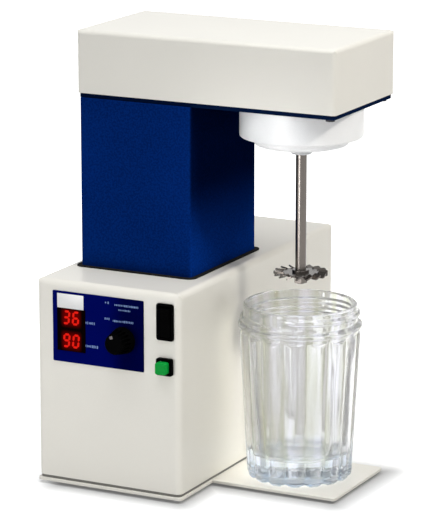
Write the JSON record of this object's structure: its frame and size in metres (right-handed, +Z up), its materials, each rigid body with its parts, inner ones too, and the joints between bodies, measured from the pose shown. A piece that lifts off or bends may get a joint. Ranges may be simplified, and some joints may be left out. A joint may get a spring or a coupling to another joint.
{
  "type": "solubility index mixer",
  "caption": "Bench mixer with a sheet-metal base, a sliding column and head, a bladed stirring spindle under a splash cap, and a lobed glass jar on a side platform.",
  "frame": {"origin": "middle of the footprint, on the table that the rubber feet stand on", "axes": "+Z up along the column and the spindle; +X towards the jar platform; controls face -Y"},
  "size_m": [0.2452, 0.3146, 0.3729],
  "materials": {
    "cream_paint": "semi-gloss powder coat, cream",
    "blue_paint": "fine-textured powder coat, dark blue",
    "dark_paint": "satin paint, near-black blue",
    "motor_paint": "satin grey paint",
    "transformer_steel": "varnished laminations",
    "stainless_steel": "ground and polished",
    "steel_hardware": "zinc plated",
    "aluminium": "as machined",
    "brass": "plain turned",
    "black_rubber": "matt black",
    "black_plastic": "moulded, satin black",
    "white_plastic": "turned white plastic",
    "seal_plastic": "turned, pale grey",
    "green_plastic": "moulded, glossy green",
    "navy_panel": "printed panel foil, dark navy",
    "display_window": "smoked filter window",
    "red_display": "lit red digits",
    "circuit_board": "green solder mask",
    "coil_tape": "varnished winding under tape",
    "jar_glass": "heavy pressed clear glass"
  },
  "bodies": {
    "base": {"base_plate": "cream_paint", "rubber_feet": "black_rubber", "base_gasket": "black_rubber", "base_housing": "cream_paint", "base_screws": "steel_hardware", "column_seal": "black_rubber", "guide_rods": "stainless_steel", "rod_screws": "steel_hardware", "control_panel": "navy_panel", "display_window": "display_window", "speed_display": "red_display", "timer_display": "red_display", "control_board": "circuit_board", "board_spacers": "brass", "selector_body": "black_plastic", "selector_nut": "steel_hardware", "switch_frame": "black_plastic", "button_bezel": "black_plastic", "button_nut": "black_plastic", "power_inlet": "black_plastic", "inlet_blades": "brass", "inlet_screws": "steel_hardware", "transformer_core": "transformer_steel", "transformer_coil": "coil_tape", "drive_board": "circuit_board", "drive_spacers": "brass", "heat_sink": "aluminium"},
    "lift": {"column_sleeve": "blue_paint", "column_carriage": "aluminium", "guide_bushes": "brass", "column_screws": "steel_hardware", "head_plate": "dark_paint", "head_cover": "cream_paint", "cover_screws": "steel_hardware", "motor": "motor_paint", "motor_screws": "steel_hardware", "bearing_housing": "aluminium", "bearing_screws": "steel_hardware", "bearing_outer_rings": "steel_hardware", "bearing_balls_set": "steel_hardware", "drive_belt": "black_rubber", "splash_cap": "white_plastic", "cap_screws": "steel_hardware", "shaft_seal": "seal_plastic"},
    "spindle": {"stirrer_shaft": "stainless_steel", "bearing_inner_rings": "steel_hardware", "spindle_pulley": "aluminium", "impeller": "stainless_steel", "impeller_nut": "stainless_steel"},
    "motor_rotor": {"motor_shaft": "stainless_steel", "motor_pulley": "aluminium"},
    "knob": {"selector_knob": "black_plastic", "knob_pointer": "white_plastic", "selector_shaft": "steel_hardware"},
    "rocker": {"switch_rocker": "black_plastic"},
    "button": {"start_button": "green_plastic"},
    "jar": {"mixing_jar": "jar_glass"}
  },
  "joints": [
    {"name": "column_lift", "type": "slide", "parent": "base", "child": "lift", "axis": [0, 0, 1], "range_m": [-0.1395, 0]},
    {"name": "spindle_spin", "type": "hinge", "parent": "lift", "child": "spindle", "pos_m": [0.0677, -0.03275, 0.3204], "axis": [0, 0, 1], "continuous": true},
    {"name": "motor_spin", "type": "hinge", "parent": "lift", "child": "motor_rotor", "pos_m": [-0.058, -0.03275, 0.3204], "axis": [0, 0, 1], "continuous": true},
    {"name": "knob_turn", "type": "hinge", "parent": "base", "child": "knob", "pos_m": [-0.0393, -0.13725, 0.1325], "axis": [0, 1, 0], "range_deg": [-130, 170]},
    {"name": "rocker_tilt", "type": "hinge", "parent": "base", "child": "rocker", "pos_m": [-0.0023, -0.1344, 0.1514], "axis": [1, 0, 0], "range_deg": [-18, 0]},
    {"name": "button_press", "type": "slide", "parent": "base", "child": "button", "axis": [0, 1, 0], "range_m": [0, 0.003], "stiffness_N_per_m": 300, "springref_m": -0.002},
    {"name": "jar_turn", "type": "hinge", "parent": "base", "child": "jar", "pos_m": [0.0677, -0.03275, 0.0052], "axis": [0, 0, 1], "continuous": true}
  ],
  "couplings": [
    {"joint": "motor_spin", "follows": "spindle_spin", "ratio": 1}
  ]
}
